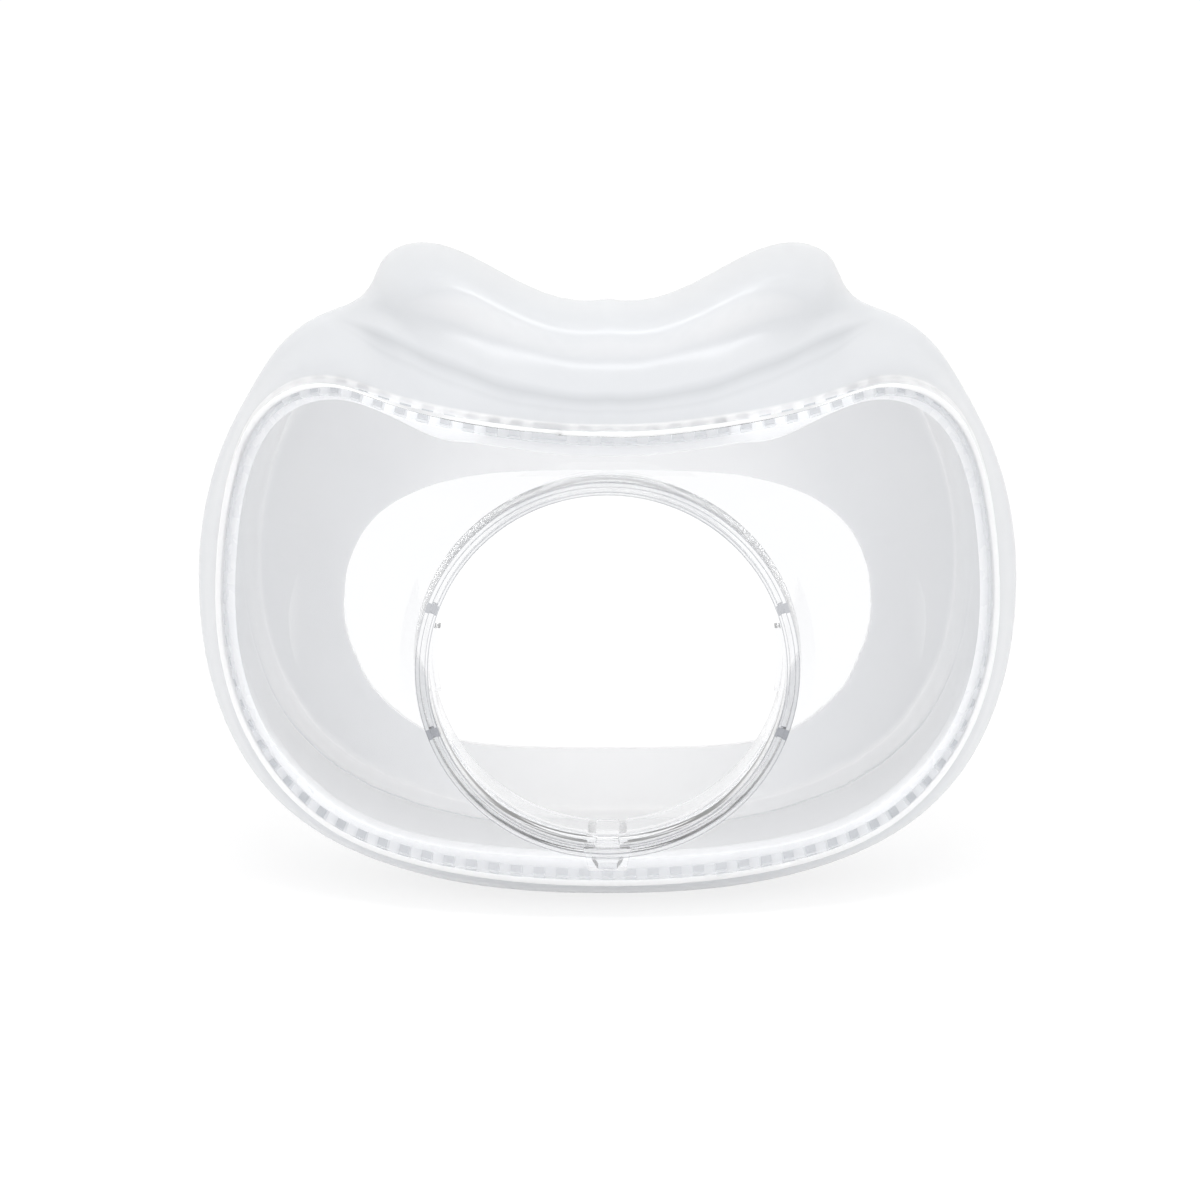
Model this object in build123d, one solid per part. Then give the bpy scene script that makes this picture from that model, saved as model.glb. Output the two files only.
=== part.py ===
from build123d import *
import os
from math import atan2, cos, degrees, hypot, radians, sin, sqrt

# Cushion module of an under-nose full face breathing mask, in millimetres.
# A clear front shell with a round port carries a silicone cushion moulded on to its rim.
# +X is across the face, +Z is up and +Y runs from the port towards the face.
# The origin is on the port's axis, in the plane of its front rim. Both pieces mirror about X = 0.

# Port: a bore tube and a collar round it, with a narrow channel between them
bore_radius = 20.5
bore_length = 6.0
key_bore_radius = 20.27
port_depth = 11.6
bore_wall = 0.4
channel_width = 0.55
channel_depth = 1.3
collar_radius = 22.0
collar_base_radius = 22.6
rib_angle = 20.0
rib_width = 1.1
rib_set_back = 0.3

# Key tabs in the bore
tab_height = 7.4
tab_length = 2.8
tab_set_back = 0.4
tab_reach = 0.7

# Key box under the port, with its slot, and the tongue and window in the bore's floor
box_width = 5.5
box_foot_width = 4.4
box_drop = 0.9
box_set_back = 0.2
slot_width = 3.6
slot_foot_width = 2.2
slot_height = 1.1
slot_depth = 3.0
tongue_width = 3.2
tongue_end_width = 2.4
tongue_length = 4.4
tongue_depth = 0.25
window_width = 4.9
window_length = 2.1
window_depth = 0.6
groove_width = 0.9
groove_spacing = 3.5
groove_depth = 0.3

# Blanks that are trimmed to shape, and how closely the dome and the outlines are followed
blank_front = -5.0
blank_back = 60.0
blank_across = 50.0
blank_up = 40.0
dome_columns = 10
dome_rows = 6
dome_fit = 0.005
set_in_points = 24
arc_count = 6
arc_steps = 8

# Front wall of the shell, domed in plan and in side view
dome_front = 2.4
dome_across = 69.4
dome_up = 200.0
shell_wall = 1.8

# Rim flange and its interlock teeth
flange_depth = 4.8
flange_wall = 1.2
tooth_pitch = 2.6
tooth_gap = 1.3
gap_depth = 2.2

# Right half of the shell's outline seen from the front, top to bottom
shell_outline = [
    (0, 26.4),
    (14, 27.4),
    (25, 29.3),
    (33, 30.6),
    (40, 26.4),
    (44, 16.0),
    (45.1, 5.2),
    (42.5, -9.3),
    (34.4, -19.4),
    (18.3, -24.6),
    (0, -25.6),
]

# Right half of the cushion's outline seen from the front
cushion_outline = [
    (0, 38.5),
    (7.3, 39.1),
    (14.3, 42.2),
    (21.4, 44.2),
    (26.3, 42.2),
    (28.7, 39.0),
    (31.2, 37.6),
    (35.3, 35.4),
    (40.9, 28.4),
    (46.4, 16.7),
    (48.4, 2.8),
    (46.6, -9.8),
    (39.6, -20.9),
    (28.7, -26.8),
    (14.3, -29.6),
    (0, -30.1),
]

# Right half of the mouth opening
mouth_outline = [
    (0, 18.0),
    (9, 17.8),
    (19, 15.9),
    (27.8, 10.2),
    (31.4, -1.2),
    (27.8, -11.0),
    (20, -15.9),
    (12, -16.6),
    (0, -16.4),
]

# Face side of the cushion: y = depth + wrap x^2 + lean z + bow z^2
face_depth = 30.0
face_wrap = 0.0122
face_lean = -0.102
face_bow = 0.00275

# Cushion walls
lip = 0.7
inner_lip = 0.8
inner_lip_length = 0.8
wall = 2.0
rim_wall = 1.4
membrane = 0.8
rim_roll = 3.3
rim_tuck = 2.6
mouth_share = 0.82

# Nasal opening
nose_width = 26.0
nose_height = 9.0
nose_z = 29.0

# Angles of the cushion's sections above +X, past the middle at both ends
section_angles = [
    112, 101, 90, 82, 74, 67, 62, 58, 54.5, 51.5, 48.5, 45, 40,
    33, 24, 12, 0, -12, -24, -36, -48, -60, -75, -90, -105, -120,
]

# Way from the lip to the rim at three points of a section: (share of width, share of depth) of each.
# Over the nose they are the crease, the nasal step and its riser. Elsewhere they are the bulging side.
side_form = {
    90: ((0.21, 0.23), (0.52, 0.46), (0.88, 0.61)),
    66: ((0.21, 0.23), (0.52, 0.46), (0.86, 0.61)),
    60: ((0.28, 0.24), (0.56, 0.47), (0.86, 0.64)),
    52: ((0.62, 0.40), (0.84, 0.62), (0.93, 0.80)),
    46: ((0.45, 0.20), (0.78, 0.42), (0.97, 0.66)),
    36: ((0.42, 0.16), (0.82, 0.36), (1.04, 0.60)),
    0: ((0.42, 0.16), (0.82, 0.36), (1.04, 0.60)),
    -36: ((0.60, 0.13), (0.94, 0.29), (1.02, 0.50)),
    -90: ((0.60, 0.13), (0.94, 0.29), (1.02, 0.50)),
}
tuck_form = {60: (0.0,), 42: (rim_tuck,)}


def closed_curve(points):
    """A closed outline from its right half, which runs from top to bottom."""
    left = [(-x, z) for x, z in points[-2:0:-1]]
    return Edge.make_spline([Vector(x, 0, z) for x, z in points + left], periodic=True)


def outline_arcs(points):
    """The same outline as a few joined arcs, so that a cut with many notches keeps short edges."""
    curve = closed_curve(points)
    arcs = []
    for k in range(arc_count):
        shares = [(k + j / arc_steps) / arc_count for j in range(arc_steps + 1)]
        places = [curve.position_at(share % 1) for share in shares]
        ends = [curve.tangent_at(share % 1) for share in (shares[0], shares[-1])]
        arcs.append(Edge.make_spline(places, tangents=ends))
    return arcs


def full_face(points, y):
    return Face(Wire(outline_arcs(points))).moved(Location((0, y, 0)))


def prism(points, front, back):
    return Solid.extrude(full_face(points, front), (0, back - front, 0))


def set_in(points, amount):
    """The same outline a distance further in, again as its right half."""
    curve = closed_curve(points)
    inner = []
    for k in range(set_in_points + 1):
        share = k / set_in_points / 2
        at = curve.position_at(share)
        along = curve.tangent_at(share)
        inner.append((at.X + along.Z * amount, at.Z - along.X * amount))
    return inner


def mirrored_side(angle):
    """The same place on the right half for an angle past the middle."""
    if angle > 90:
        return 180 - angle
    if angle < -90:
        return -180 - angle
    return angle


def radius_at(curve, angle):
    """Distance of an outline from the port's axis, at an angle above +X."""
    side = mirrored_side(angle)
    low, high = 0.0, 0.5
    for _ in range(40):
        middle = (low + high) / 2
        at = curve.position_at(middle)
        if degrees(atan2(at.Z, at.X)) > side:
            low = middle
        else:
            high = middle
    return hypot(at.X, at.Z)


def ease(angle, form):
    """Values between the listed angles, in smooth steps."""
    keys = sorted(form, reverse=True)
    for high, low in zip(keys, keys[1:]):
        if high >= angle >= low:
            t = (high - angle) / (high - low)
            t = t * t * (3 - 2 * t)
            return blend_of(form[high], form[low], t)
    return form[keys[0]] if angle > keys[0] else form[keys[-1]]


def blend_of(a, b, t):
    if isinstance(a, tuple):
        return tuple(blend_of(p, q, t) for p, q in zip(a, b))
    return a + (b - a) * t


def dome_y(x, z, depth=0.0):
    """Front of the shell's wall, or a layer at some depth behind it."""
    side_radius = dome_up - dome_across + sqrt((dome_across - depth)**2 - x**2)
    return dome_front + dome_up - sqrt(side_radius**2 - z**2)


def face_y(x, z):
    return face_depth + face_wrap * x**2 + face_lean * z + face_bow * z**2


def behind_dome(depth):
    """All that lies further back than a depth behind the front of the wall."""
    grid = []
    for i in range(dome_columns + 1):
        x = blank_across * (2 * i / dome_columns - 1)
        grid.append([])
        for j in range(dome_rows + 1):
            z = blank_up * (2 * j / dome_rows - 1)
            grid[-1].append(Vector(x, dome_y(x, z, depth), z))
    face = Face.make_surface_from_array_of_points(grid, tol=dome_fit, min_deg=3, max_deg=6)
    return Solid.extrude(face, (0, blank_back, 0))


def ring(inner, outer, front, back, outer_front=None):
    """A ring about the port's axis, conical outside if outer_front is given."""
    front_radius = outer if outer_front is None else outer_front
    corners = [(inner, front), (front_radius, front), (outer, back), (inner, back)]
    with BuildPart() as solid:
        with BuildSketch(Plane.XY):
            with BuildLine():
                Polyline(*corners, close=True)
            make_face()
        revolve(axis=Axis.Y, revolution_arc=360)
    return solid.part


def taper_block(top_width, foot_width, top_z, foot_z, front, back):
    """A block with slanting sides, wider or narrower at its foot."""
    corners = [
        (-top_width / 2, top_z),
        (top_width / 2, top_z),
        (foot_width / 2, foot_z),
        (-foot_width / 2, foot_z),
    ]
    outline = Wire.make_polygon([Vector(x, front, z) for x, z in corners])
    return Solid.extrude(Face(outline), (0, back - front, 0))


def interlock_gaps():
    """Gaps between the teeth of the flange, each open to the back of the blank."""
    curve = closed_curve(shell_outline)
    count = round(curve.length / tooth_pitch)
    gaps = []
    for k in range(count):
        share = (k + 0.5) / count
        at = curve.position_at(share)
        along = curve.tangent_at(share)
        floor = dome_y(at.X, at.Z) + flange_depth - gap_depth
        length = blank_back + 1 - floor
        origin = (at.X, floor + length / 2, at.Z)
        plane = Plane(origin=origin, x_dir=(along.X, 0, along.Z), z_dir=(-along.Z, 0, along.X))
        gaps.append(plane * Box(tooth_gap, length, 6 * flange_wall))
    return gaps


def cup():
    """Front wall and toothed rim flange, before the port goes in."""
    outside = prism(shell_outline, blank_front, blank_back) & behind_dome(0)
    inside = prism(set_in(shell_outline, flange_wall), 0, blank_back) & behind_dome(shell_wall)
    bore = Cylinder(bore_radius + bore_wall / 2, 2 * blank_back, rotation=(90, 0, 0))
    blank = outside - inside - bore - interlock_gaps()
    return blank - behind_dome(flange_depth)


def port():
    """Collar, channel and bore tube, before the bore's floor is cut."""
    tube_radius = bore_radius + bore_wall
    collar = ring(bore_radius, collar_base_radius, 0, 12, collar_radius)
    collar -= behind_dome(shell_wall)
    collar -= ring(tube_radius, tube_radius + channel_width, -1, channel_depth)
    tube = ring(key_bore_radius, tube_radius, bore_length, port_depth)
    front_tube = ring(bore_radius, tube_radius, channel_depth, bore_length)
    return collar + tube + front_tube


def ribs():
    tube_radius = bore_radius + bore_wall
    middle = tube_radius + channel_width / 2
    reach = channel_width + 0.4
    length = channel_depth - rib_set_back + 0.4
    solids = []
    for angle in (rib_angle, 180 - rib_angle, 180 + rib_angle, -rib_angle):
        block = Box(reach, length, rib_width).moved(Location((middle, rib_set_back + length / 2, 0)))
        solids.append(block.rotate(Axis.Y, -angle))
    return solids


def key_tabs():
    front = bore_length + tab_set_back
    blank = ring(key_bore_radius - tab_reach, key_bore_radius + 0.2, front, front + tab_length)
    return blank & Box(4 * bore_radius, 4 * port_depth, tab_height)


def key_box():
    top = -(bore_radius + bore_wall)
    foot = -(collar_base_radius + box_drop)
    block = taper_block(box_width, box_foot_width, top, foot, box_set_back, 10)
    return block - behind_dome(shell_wall)


def key_cuts():
    """The slot of the key box, and the tongue, window and grooves in the bore's floor."""
    middle = -(collar_radius + collar_base_radius + box_drop) / 2
    slot = taper_block(
        slot_width, slot_foot_width, middle + slot_height / 2, middle - slot_height / 2, -1, slot_depth
    )
    floor = -(bore_radius + tongue_depth)
    tongue = loft_prism(tongue_width, tongue_end_width, -bore_radius + 1, floor, -1, tongue_length)
    window = Box(window_width, window_length, 2 * window_depth).moved(
        Location((0, tongue_length + window_length / 2, -key_bore_radius))
    )
    cuts = [slot, tongue, window]
    for side in (-1, 1):
        groove = Box(groove_width, port_depth, 2 * groove_depth)
        start = tongue_length + window_length + port_depth / 2 - 0.5
        cuts.append(groove.moved(Location((side * groove_spacing / 2, start, -key_bore_radius))))
    return cuts


def loft_prism(front_width, back_width, top_z, foot_z, front, back):
    """A block whose width changes from its front to its back."""
    corners = [
        (-front_width / 2, front),
        (front_width / 2, front),
        (back_width / 2, back),
        (-back_width / 2, back),
    ]
    outline = Wire.make_polygon([Vector(x, y, foot_z) for x, y in corners])
    return Solid.extrude(Face(outline), (0, 0, top_z - foot_z))


def clear_shell():
    fitting = port() + ribs() + key_tabs() + key_box() - key_cuts()
    return cup() + fitting


def section_points(angle, seam, skin, mouth):
    """Outer side of a cushion section as (radius, y), from the lip round the rim to the mouth."""
    side = mirrored_side(angle)
    c, s = cos(radians(side)), sin(radians(side))

    def face_at(r):
        return face_y(r * c, r * s)

    seam_radius = radius_at(seam, side)
    widest = radius_at(skin, side)
    lip_radius = seam_radius + lip
    lip_front = dome_y(seam_radius * c, seam_radius * s)
    lip_back = lip_front + flange_depth
    rim_radius = widest - ease(side, tuck_form)[0]
    roll_radius = rim_radius - rim_roll
    slope = face_at(roll_radius + 0.5) - face_at(roll_radius - 0.5)
    across, back = -slope / hypot(1, slope), 1 / hypot(1, slope)
    touch = roll_radius + across * rim_roll
    roll_y = face_at(touch) - back * rim_roll
    points = [(lip_radius, lip_front), (lip_radius + 0.05, lip_back)]
    for out, deep in ease(side, side_form):
        points.append((lip_radius + out * (widest - lip_radius), lip_back + deep * (roll_y - lip_back)))
    points.append((rim_radius, roll_y))
    turn = atan2(back, across)
    for share in (0.36, 0.70, 1.0):
        points.append((roll_radius + rim_roll * cos(turn * share), roll_y + rim_roll * sin(turn * share)))
    end = radius_at(mouth, side) * mouth_share
    for r in ((touch + end) / 2, end):
        points.append((r, face_at(r)))
    return points


def inner_points(points, seam_radius, angle):
    """Inner side of a section: the outer side moved in by the wall there."""
    c, s = cos(radians(angle)), sin(radians(angle))
    walls = [wall, wall, wall, wall, wall, rim_wall, rim_wall, rim_wall, membrane, membrane, membrane]
    inner = []
    for k, (r, y) in enumerate(points):
        before = points[max(k - 1, 0)]
        after = points[min(k + 1, len(points) - 1)]
        run, rise = after[0] - before[0], after[1] - before[1]
        length = hypot(run, rise)
        inner.append((r - rise / length * walls[k], y + run / length * walls[k]))
    lip_radius = seam_radius - flange_wall - inner_lip
    in_wall = dome_y(lip_radius * c, lip_radius * s) + shell_wall / 2
    inner[0] = (lip_radius, in_wall)
    inner[1] = (lip_radius, points[1][1] + inner_lip_length)
    return inner


def section(angle, seam, skin, mouth):
    """A closed thin section of the cushion in the plane through the port's axis at an angle."""
    outer = section_points(angle, seam, skin, mouth)
    inner = inner_points(outer, radius_at(seam, angle), angle)
    c, s = cos(radians(angle)), sin(radians(angle))
    sides = []
    for points in (outer, inner):
        places = [Vector(r * c, y, r * s) for r, y in points]
        sides.append(Edge.make_spline(places, parameters=[float(k) for k in range(len(places))]))
    ends = [Edge.make_line(sides[0].position_at(t), sides[1].position_at(t)) for t in (0, 1)]
    return Wire([sides[0], ends[1], sides[1], ends[0]])


def silicone_cushion(shell):
    outlines = [closed_curve(points) for points in (shell_outline, cushion_outline, mouth_outline)]
    body = Solid.make_loft([section(angle, *outlines) for angle in section_angles])
    half = body & Box(200, 200, 200).moved(Location((100, 0, 0)))
    cushion = half + half.mirror(Plane.YZ)
    cushion = cushion - prism(mouth_outline, -5, 80)
    nose = Ellipse(nose_width / 2, nose_height / 2)
    nose_cut = extrude(Plane.XZ.offset(-20) * Pos(0, nose_z) * nose, amount=-60)
    cushion = cushion - nose_cut
    return cushion - shell


os.makedirs("parts", exist_ok=True)
shell = clear_shell()
cushion = silicone_cushion(shell)
export_step(shell, "parts/clear_shell.step")
export_step(cushion, "parts/silicone_cushion.step")
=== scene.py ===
import math

import bmesh
import bpy
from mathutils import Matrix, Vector
from mathutils.bvhtree import BVHTree


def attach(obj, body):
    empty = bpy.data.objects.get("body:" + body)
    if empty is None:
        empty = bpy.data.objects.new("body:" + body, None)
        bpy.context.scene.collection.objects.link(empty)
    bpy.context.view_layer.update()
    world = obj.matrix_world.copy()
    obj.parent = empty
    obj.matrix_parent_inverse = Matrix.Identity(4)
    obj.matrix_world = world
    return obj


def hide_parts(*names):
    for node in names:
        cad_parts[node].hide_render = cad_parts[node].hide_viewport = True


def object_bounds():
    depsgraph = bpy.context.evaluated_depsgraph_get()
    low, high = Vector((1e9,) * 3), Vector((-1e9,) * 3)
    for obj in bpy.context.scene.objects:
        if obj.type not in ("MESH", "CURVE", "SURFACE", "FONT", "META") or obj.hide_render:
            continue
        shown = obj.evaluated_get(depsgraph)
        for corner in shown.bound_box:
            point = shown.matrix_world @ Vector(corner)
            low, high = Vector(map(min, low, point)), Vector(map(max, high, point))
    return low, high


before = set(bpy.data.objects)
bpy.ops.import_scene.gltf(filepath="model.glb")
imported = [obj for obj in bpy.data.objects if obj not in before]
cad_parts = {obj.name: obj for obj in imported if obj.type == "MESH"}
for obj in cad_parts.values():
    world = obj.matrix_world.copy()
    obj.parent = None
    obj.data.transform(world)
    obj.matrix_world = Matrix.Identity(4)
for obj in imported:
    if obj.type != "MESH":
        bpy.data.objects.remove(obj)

print("frame loaded:", sorted(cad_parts))
cadLow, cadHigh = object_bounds()

body = "root"
scene = bpy.context.scene
scene.view_settings.view_transform = "Standard"


# a shader socket that takes part in Python sums
class Value:
    def __init__(self, tree, socket):
        self.tree = tree
        self.socket = socket

    def node(self, kind, settings=None, output=0, **inputs):
        made = self.tree.nodes.new(kind)
        for name, setting in (settings or {}).items():
            setattr(made, name, setting)
        for name, given in inputs.items():
            # i0 is the node's first socket, and From_Min the socket called From Min
            numbered = name[0] == "i" and name[1:].isdigit()
            key = int(name[1:]) if numbered else name.replace("_", " ")
            if isinstance(given, Value):
                self.tree.links.new(given.socket, made.inputs[key])
            else:
                made.inputs[key].default_value = given
        return Value(self.tree, made.outputs[output])

    def maths(self, operation, other=0.0, swapped=False):
        first, second = (other, self) if swapped else (self, other)
        return self.node("ShaderNodeMath", {"operation": operation}, i0=first, i1=second)

    def __add__(self, other): return self.maths("ADD", other)
    def __radd__(self, other): return self.maths("ADD", other, True)
    def __sub__(self, other): return self.maths("SUBTRACT", other)
    def __rsub__(self, other): return self.maths("SUBTRACT", other, True)
    def __mul__(self, other): return self.maths("MULTIPLY", other)
    def __rmul__(self, other): return self.maths("MULTIPLY", other, True)
    def __truediv__(self, other): return self.maths("DIVIDE", other)
    def clamped(self): return self.between(0.0, 1.0)

    def between(self, low, high):
        # 0 below the first value, 1 above the second
        return self.node("ShaderNodeMapRange", Value=self, From_Min=low, From_Max=high)

    def mixed(self, first, second):
        # a colour between two, by this factor
        blend = self.node("ShaderNodeMix", {"data_type": "RGBA"}, i0=self, i6=first, i7=second)
        return Value(self.tree, blend.socket.node.outputs[2])

    def part(self, axis):
        split = self.node("ShaderNodeSeparateXYZ", Vector=self)
        return Value(self.tree, split.socket.node.outputs["XYZ".index(axis)])


def startMaterial(name):
    material = bpy.data.materials.new(name)
    material.use_nodes = True
    tree = material.node_tree
    shader = tree.nodes["Principled BSDF"]
    place = Value(tree, tree.nodes.new("ShaderNodeTexCoord").outputs["Object"])
    return material, shader, place


def plug(value, shader, name):
    value.tree.links.new(value.socket, shader.inputs[name])


# the shell's domed front, as the CAD model has it, in metres
dome = {"front": 0.0024, "across": 0.0694, "up": 0.2}


def behindDome(place):
    # how far a point lies behind the front of the shell
    x, z = place.part("X"), place.part("Z")
    side = (dome["across"] ** 2 - x * x).maths("SQRT") + (dome["up"] - dome["across"])
    front = (side * side - z * z).maths("SQRT")
    return place.part("Y") + front - (dome["front"] + dome["up"])


def fromAxis(place):
    # how far a point lies from the port's axis
    x, z = place.part("X"), place.part("Z")
    return (x * x + z * z).maths("SQRT")


# clear polycarbonate of the front shell, lengths in metres
shellLook = {
    "ior": 1.58,
    "roughness": 0.015,
    "tint": (0.95, 0.954, 0.964, 1),
    "waveSize": 90.0,
    "waveDetail": 1.0,
    "waveShare": 0.01,
    "passedLight": (0.99, 0.992, 0.995, 1),
    "trappedDepth": 2.5,  # bounces before a caught ray goes straight on
    "trappedRadius": (0.03, 0.032),
    "bondColour": (0.97, 0.975, 0.98, 1),
    "bondDepth": (0.0021, 0.0023),  # where the flange begins, behind the front
    "bondRadius": (0.0238, 0.024),  # clear of the port
    "bondFacing": (-0.4, -0.2),
    "clarity": 0.2,  # softens what the port's upper half refracts
    "clarityRise": (-0.006, 0.012),
    "innerWallClarity": 0.95,
    "ribAngle": 20.0,
    "ribHalfAngle": 1.6,
    "ribRadius": (0.0206, 0.0221),
    "ribDepth": 0.0019,
    # painted shade: the dark tint given to the ribs and the rims' edges
    "ribShadeTint": (0.24, 0.25, 0.28, 1),
    "rimRadii": (0.02056, 0.02088, 0.02147, 0.02196),
    "rimHalfWidth": 0.00011,
    "rimDepth": 0.0004,
}


def clearPolycarbonate():
    material, shader, place = startMaterial("clearPolycarbonate")
    # painted shade from refraction: the ribs and the rims' edges are tinted dark in the clear wall
    refractionShade = ribShadeMask(place).maths("MAXIMUM", rimShadeLines(place))
    plug(refractionShade.mixed(shellLook["tint"], shellLook["ribShadeTint"]), shader, "Base Color")
    shader.inputs["Transmission Weight"].default_value = 1.0
    shader.inputs["IOR"].default_value = shellLook["ior"]
    size, detail = shellLook["waveSize"], shellLook["waveDetail"]
    wave = place.node("ShaderNodeTexNoise", Vector=place, Scale=size, Detail=detail)
    plug(wave * shellLook["waveShare"] + shellLook["roughness"], shader, "Roughness")
    letLightThrough(material, bondedFlange(place, shader))
    return material


def ribShadeMask(place):
    # painted shade: the four ribs in the port's channel are tinted darker than the clear wall, where
    # the light refracts away from them
    slope = place.part("Z").maths("ABSOLUTE") / place.part("X").maths("ABSOLUTE")
    angle = slope.maths("ARCTANGENT")
    off = (angle - math.radians(shellLook["ribAngle"])).maths("ABSOLUTE")
    near = off.maths("LESS_THAN", math.radians(shellLook["ribHalfAngle"]))
    radius = fromAxis(place)
    inner, outer = shellLook["ribRadius"]
    within = radius.maths("GREATER_THAN", inner) * radius.maths("LESS_THAN", outer)
    return near * within * place.part("Y").maths("LESS_THAN", shellLook["ribDepth"])


def rimShadeLines(place):
    # painted shade: thin dark lines where the port's two rims have their edges, which bend the light
    # away on the real one and are sharp in the CAD
    radius = fromAxis(place)
    lines = 0
    for edge in shellLook["rimRadii"]:
        off = (radius - edge).maths("ABSOLUTE") / shellLook["rimHalfWidth"]
        lines = (1 - off).clamped() + lines
    return lines * place.part("Y").maths("LESS_THAN", shellLook["rimDepth"])


def mixShaders(factor, first, second):
    blend = factor.node("ShaderNodeMixShader", Fac=factor).socket.node
    factor.tree.links.new(first, blend.inputs[1])
    factor.tree.links.new(second, blend.inputs[2])
    return blend.outputs["Shader"]


def bondedFlange(place, shader):
    # the flange is bonded to the silicone, so its faces are shown clear, without reflections
    tree = place.tree
    bonded = tree.nodes.new("ShaderNodeBsdfTransparent")
    bonded.inputs["Color"].default_value = shellLook["bondColour"]
    deep = behindDome(place).between(*shellLook["bondDepth"])
    outside = fromAxis(place).between(*shellLook["bondRadius"])
    normal = Value(tree, tree.nodes.new("ShaderNodeNewGeometry").outputs["True Normal"])
    across = place.part("X") * normal.part("X") + place.part("Z") * normal.part("Z")
    facing = (across / fromAxis(place)).between(*shellLook["bondFacing"])
    # a ray caught inside the wall's edge would end black, so after a few bounces it goes straight on
    depth = Value(tree, tree.nodes.new("ShaderNodeLightPath").outputs["Ray Depth"])
    trapped = depth.maths("GREATER_THAN", shellLook["trappedDepth"])
    factor = deep * facing.maths("MAXIMUM", shellLook["innerWallClarity"])
    trapped = trapped * fromAxis(place).between(*shellLook["trappedRadius"])
    factor = (factor * outside).maths("MAXIMUM", trapped)
    upper = place.part("Z").between(*shellLook["clarityRise"])
    factor = factor + (1 - outside) * upper * shellLook["clarity"]
    return mixShaders(factor, shader.outputs["BSDF"], bonded.outputs["BSDF"])


def letLightThrough(material, seen):
    # lamp light and bounced light pass the clear wall instead of stopping at it
    tree = material.node_tree
    paths = tree.nodes.new("ShaderNodeLightPath")
    shadow = Value(tree, paths.outputs["Is Shadow Ray"])
    bounced = Value(tree, paths.outputs["Is Diffuse Ray"])
    clear = tree.nodes.new("ShaderNodeBsdfTransparent")
    clear.inputs["Color"].default_value = shellLook["passedLight"]
    passing = shadow.maths("MAXIMUM", bounced)
    surface = mixShaders(passing, seen, clear.outputs["BSDF"])
    tree.links.new(surface, tree.nodes["Material Output"].inputs["Surface"])


shellMesh = {"weld": 1e-6, "sharpAngle": 30.0}


def dressShell(piece):
    piece.data.materials.clear()
    piece.data.materials.append(clearPolycarbonate())
    for polygon in piece.data.polygons:
        polygon.use_smooth = True
    weld = piece.modifiers.new("weld", "WELD")
    weld.merge_threshold = shellMesh["weld"]
    split = piece.modifiers.new("edges", "EDGE_SPLIT")
    split.split_angle = math.radians(shellMesh["sharpAngle"])
    split.use_edge_sharp = False


dressShell(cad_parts["clear_shell"])
print("shell dressed")


# milky silicone cushion: the CAD moulding, merged into one skin, lengths in metres
siliconeLook = {
    # painted light and shade: one silicone, painted lighter where it faces the port's axis and
    # darker on its outer side
    "insidePaintedLight": (0.965, 0.963, 0.968, 1),
    "outsidePaintedShade": (0.63, 0.642, 0.66, 1),
    "outsideFacing": (-0.2, 0.5),
    # painted shade: the dark colour painted along the creases
    "paintedCreaseShade": (0.53, 0.542, 0.56, 1),
    "creaseDepth": 0.0081,
    "creaseSweep": 0.00465,
    "creaseSpan": 0.0298,
    "creaseBend": 4.0,
    "creaseEnds": (1.05, 0.92),
    "creaseFloor": (0.02, 0.024),
    "creaseHalfWidth": 0.0011,
    "lowerCrease": (-0.0014, 0.0006, 0.35),  # step from the upper one, half width, share
    # painted light: the pale colour of the band over the flange
    "bandPaintedLight": (0.95, 0.953, 0.96, 1),
    "bandDepth": (0.0047, 0.0043),
    # painted shade: the grey of the blocks over the flange's teeth
    "blockShade": (0.86, 0.867, 0.882, 1),
    "blockDepth": (0.0031, 0.0029),
    "blockScale": 640.0,
    "blockShare": 0.5,
    "roughness": 0.3,
    "ior": 1.41,
    "scatterDepth": 0.006,
    "grainSize": 420.0,
    "grainDetail": 2.0,
    "grainShare": 0.06,
    "coat": 0.4,
    "coatRoughness": 0.22,
    "merge": 1e-6,
    "sharpAngle": 40.0,
    "contact": 2e-5,
    "gap": 5e-5,  # how far bonded points draw back
    "bondDepth": (0.00198, 0.0021),
    "bondSideways": (-1.85, -0.5),
    "carriedLight": (0.115, 0.116, 0.119, 1),
    "carriedInward": (0.17, 0.172, 0.176, 1),
}


def facingOut(place):
    # 1 on the skin's outer side, 0 where it faces the port's axis
    normal = Value(place.tree, place.tree.nodes.new("ShaderNodeNewGeometry").outputs["Normal"])
    across = place.part("X") * normal.part("X") + place.part("Z") * normal.part("Z")
    return (across / fromAxis(place)).between(*siliconeLook["outsideFacing"])


def creaseShadeLines(place, depth):
    # painted shade along the moulded crease under the nasal step, and a fainter painted line below
    # it
    reach = place.part("X").maths("ABSOLUTE") / siliconeLook["creaseSpan"]
    bend = reach.maths("POWER", siliconeLook["creaseBend"])
    line = bend * siliconeLook["creaseSweep"] + siliconeLook["creaseDepth"]
    ends = reach.between(*siliconeLook["creaseEnds"])
    ends = ends * place.part("Z").between(*siliconeLook["creaseFloor"])
    lower, lowerWidth, lowerShare = siliconeLook["lowerCrease"]
    upperOff = (depth - line).maths("ABSOLUTE") / siliconeLook["creaseHalfWidth"]
    lowerOff = (depth - line - lower).maths("ABSOLUTE") / lowerWidth
    return ((1 - upperOff).clamped() + (1 - lowerOff).clamped() * lowerShare) * ends


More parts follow.
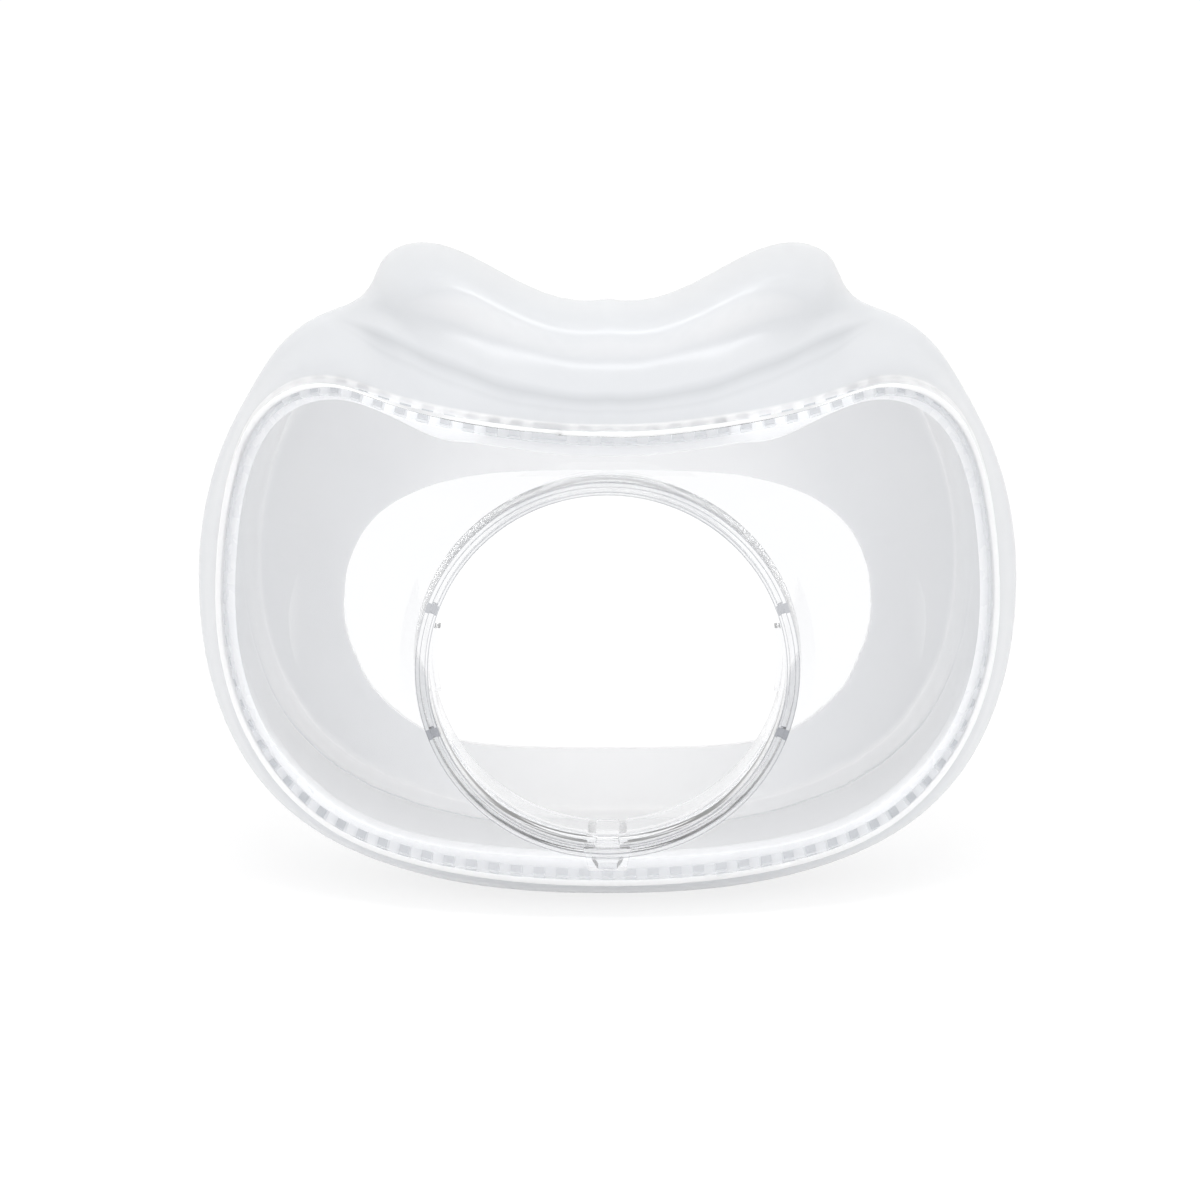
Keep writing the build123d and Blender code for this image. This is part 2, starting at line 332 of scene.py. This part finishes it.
def siliconeColourAndShade(place):
    outside = facingOut(place)
    depth = behindDome(place)
    # painted light and shade: the inner side is a lit copy of the silicone and the outer side a
    # shaded copy
    colour = outside.mixed(siliconeLook["insidePaintedLight"], siliconeLook["outsidePaintedShade"])
    # painted shade darkens the outer side along the creases
    crease = (creaseShadeLines(place, depth) * outside).clamped()
    colour = crease.mixed(colour, siliconeLook["paintedCreaseShade"])
    # painted light: a pale band on the outer side near the front, where the flange shows bright
    # through the thin lip
    band = depth.between(*siliconeLook["bandDepth"]) * outside
    colour = band.mixed(colour, siliconeLook["bandPaintedLight"])
    # painted shade: grey blocks in a random cell pattern at the front of the band, standing in for
    # the flange's teeth seen through the lip
    cells = {"distance": "CHEBYCHEV"}
    scale = siliconeLook["blockScale"]
    cell = place.node("ShaderNodeTexVoronoi", cells, 1, Vector=place, Scale=scale)
    block = cell.part("X").maths("GREATER_THAN", siliconeLook["blockShare"])
    block = block * depth.between(*siliconeLook["blockDepth"]) * outside
    return block.mixed(colour, siliconeLook["blockShade"])


def milkySilicone():
    material, shader, place = startMaterial("milkySilicone")
    plug(siliconeColourAndShade(place), shader, "Base Color")
    shader.inputs["IOR"].default_value = siliconeLook["ior"]
    shader.inputs["Subsurface Weight"].default_value = 1.0
    shader.inputs["Subsurface Radius"].default_value = (1.0, 1.0, 1.0)
    shader.inputs["Subsurface Scale"].default_value = siliconeLook["scatterDepth"]
    shader.inputs["Emission Strength"].default_value = 1.0
    bond = Value(place.tree, place.tree.nodes.new("ShaderNodeAttribute").outputs["Fac"])
    bond.socket.node.attribute_name = "bond"
    # the faces bonded to the flange come out too dark behind it, so they glow faintly
    normal = Value(place.tree, place.tree.nodes.new("ShaderNodeNewGeometry").outputs["Normal"])
    sideways = normal.part("Y").between(*siliconeLook["bondSideways"])
    bond = bond * sideways * behindDome(place).between(*siliconeLook["bondDepth"])
    inward, outward = siliconeLook["carriedInward"], siliconeLook["carriedLight"]
    carried = facingOut(place).mixed(inward, outward)
    plug(bond.mixed((0, 0, 0, 1), carried), shader, "Emission Color")
    shader.inputs["Coat Weight"].default_value = siliconeLook["coat"]
    shader.inputs["Coat Roughness"].default_value = siliconeLook["coatRoughness"]
    size, detail = siliconeLook["grainSize"], siliconeLook["grainDetail"]
    grain = place.node("ShaderNodeTexNoise", Vector=place, Scale=size, Detail=detail)
    plug(grain * siliconeLook["grainShare"] + siliconeLook["roughness"], shader, "Roughness")
    return material


def clearOfShell(skin, shell):
    # the faces that touch the shell draw back a hair, so that the two surfaces don't coincide
    corners = [vert.co for vert in shell.data.vertices]
    tree = BVHTree.FromPolygons(corners, [list(face.vertices) for face in shell.data.polygons])
    bond = skin.verts.layers.float.new("bond")
    skin.normal_update()
    reach = siliconeLook["contact"]
    touching = [vert for vert in skin.verts if tree.find_nearest(vert.co, reach)[0]]
    moves = [(vert, vert.normal * siliconeLook["gap"]) for vert in touching]
    for vert, move in moves:
        vert.co -= move
        vert[bond] = 1.0
    print("contact points drawn back:", len(touching))


def cushionSkin(node, shell):
    mesh = node.data.copy()
    mesh.materials.clear()
    mesh.materials.append(milkySilicone())
    skin = bmesh.new()
    skin.from_mesh(mesh)
    bmesh.ops.remove_doubles(skin, verts=skin.verts, dist=siliconeLook["merge"])
    clearOfShell(skin, shell)
    for face in skin.faces:
        face.smooth = True
    sharp = math.radians(siliconeLook["sharpAngle"])
    for edge in skin.edges:
        edge.smooth = not edge.is_manifold or edge.calc_face_angle() < sharp
    skin.to_mesh(mesh)
    skin.free()
    piece = bpy.data.objects.new("cushion_skin", mesh)
    scene.collection.objects.link(piece)
    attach(piece, body)
    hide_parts("silicone_cushion")


cushionSkin(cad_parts["silicone_cushion"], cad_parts["clear_shell"])
print("cushion skin made")


# surroundings: white background, pale floor, soft light
studio = {
    "level": 0.7,
    "fromFront": 0.5,
    "fromBehind": 0.34,
    "fromAbove": 0.1,
    "steepLevel": 0.72,
    "steep": (0.45, 0.85),
    "floorSize": 3.0,
    "floorSegments": 64,
    "floorColour": (0.95, 0.95, 0.955, 1),
    "floorRoughness": 0.9,
    "shadowShare": 0.25,
    "floorGlow": 1.05,
    "floorLift": 0.14,
    "shadowReach": (0.12, 0.5),
    "lampHeight": 0.55,
    "lampForward": 0.2,
    "lampSize": (0.42, 0.12),
    "lampPower": 0.9,
}


def seenWhite(tree):
    # 1 for rays from the camera and for what gloss and glass show
    paths = tree.nodes.new("ShaderNodeLightPath")
    white = Value(tree, paths.outputs["Is Camera Ray"])
    for kind in ("Is Glossy Ray", "Is Transmission Ray"):
        white = white.maths("MAXIMUM", Value(tree, paths.outputs[kind]))
    return white


def makeWorld():
    world = bpy.data.worlds.new("studio")
    scene.world = world
    world.use_nodes = True
    tree = world.node_tree
    background = tree.nodes["Background"]
    background.inputs["Color"].default_value = (1, 1, 1, 1)
    way = Value(tree, tree.nodes.new("ShaderNodeTexCoord").outputs["Generated"])
    rise = way.part("Z")
    ahead = way.part("Y")
    ends = (0 - ahead).clamped() * studio["fromFront"] + ahead.clamped() * studio["fromBehind"]
    soft = ends + rise.clamped() * studio["fromAbove"] + studio["level"]
    steep = rise.maths("ABSOLUTE").between(*studio["steep"])
    shown = 1 - steep * (1 - studio["steepLevel"])
    direct = Value(tree, tree.nodes.new("ShaderNodeLightPath").outputs["Is Camera Ray"])
    shown = shown.maths("MAXIMUM", direct)
    white = seenWhite(tree)
    level = white * shown + (1 - white) * soft
    tree.links.new(level.socket, background.inputs["Strength"])


def makeFloor(height):
    floor = bmesh.new()
    segments, radius = studio["floorSegments"], studio["floorSize"]
    bmesh.ops.create_circle(floor, cap_ends=True, segments=segments, radius=radius)
    bmesh.ops.translate(floor, verts=floor.verts, vec=(0, 0, height))
    mesh = bpy.data.meshes.new("floor")
    floor.to_mesh(mesh)
    floor.free()
    piece = bpy.data.objects.new("floor", mesh)
    scene.collection.objects.link(piece)
    material, shader, place = startMaterial("paleFloor")
    shader.inputs["Base Color"].default_value = studio["floorColour"]
    shader.inputs["Roughness"].default_value = studio["floorRoughness"]
    shader.inputs["Specular IOR Level"].default_value = 0.0
    # the floor looks white with a faint shadow near the object, and throws little light up
    tree = material.node_tree
    glow = tree.nodes.new("ShaderNodeEmission")
    glow.inputs["Strength"].default_value = studio["floorGlow"]
    away = place.node("ShaderNodeVectorMath", {"operation": "LENGTH"}, i0=place)
    away = Value(tree, away.socket.node.outputs["Value"])
    near, far = studio["shadowReach"]
    share = studio["shadowShare"]
    white = seenWhite(tree) * (away.between(near, far) * share + (1 - share))
    white = white.maths("MAXIMUM", studio["floorLift"])
    surface = mixShaders(white, shader.outputs["BSDF"], glow.outputs["Emission"])
    tree.links.new(surface, tree.nodes["Material Output"].inputs["Surface"])
    mesh.materials.append(material)


def makeLamp(name, place, size, power):
    lamp = bpy.data.lights.new(name, "AREA")
    lamp.shape = "RECTANGLE"
    lamp.size, lamp.size_y = size
    lamp.energy = power
    holder = bpy.data.objects.new(name, lamp)
    scene.collection.objects.link(holder)
    holder.location = place
    holder.rotation_euler = (-Vector(place)).to_track_quat("-Z", "Y").to_euler()


makeWorld()
makeFloor(cadLow[2])
lampPlace = (0, -studio["lampForward"], studio["lampHeight"])
makeLamp("softboxTop", lampPlace, studio["lampSize"], studio["lampPower"])
print("surroundings made")


# camera at the photo's place
view = {
    "elevation": 12.6,
    "distance": 0.8,
    "pixelsPerMetre": 8757.0,
    "originPixel": (607.5, 671.7),
    "picture": 1200,
    "sensor": 36,
    "clip": (0.01, 20),
}
tilt = math.radians(view["elevation"])
cameraData = bpy.data.cameras.new("camera")
cameraObject = bpy.data.objects.new("camera", cameraData)
scene.collection.objects.link(cameraObject)
away = view["distance"]
cameraObject.location = (0, -away * math.cos(tilt), away * math.sin(tilt))
cameraObject.rotation_euler = (math.pi / 2 - tilt, 0, 0)
cameraData.sensor_width = view["sensor"]
cameraData.lens = view["sensor"] * view["pixelsPerMetre"] * away / view["picture"]
half = view["picture"] / 2
cameraData.shift_x = (half - view["originPixel"][0]) / view["picture"]
cameraData.shift_y = (view["originPixel"][1] - half) / view["picture"]
cameraData.clip_start, cameraData.clip_end = view["clip"]
scene.camera = cameraObject
print("camera set")
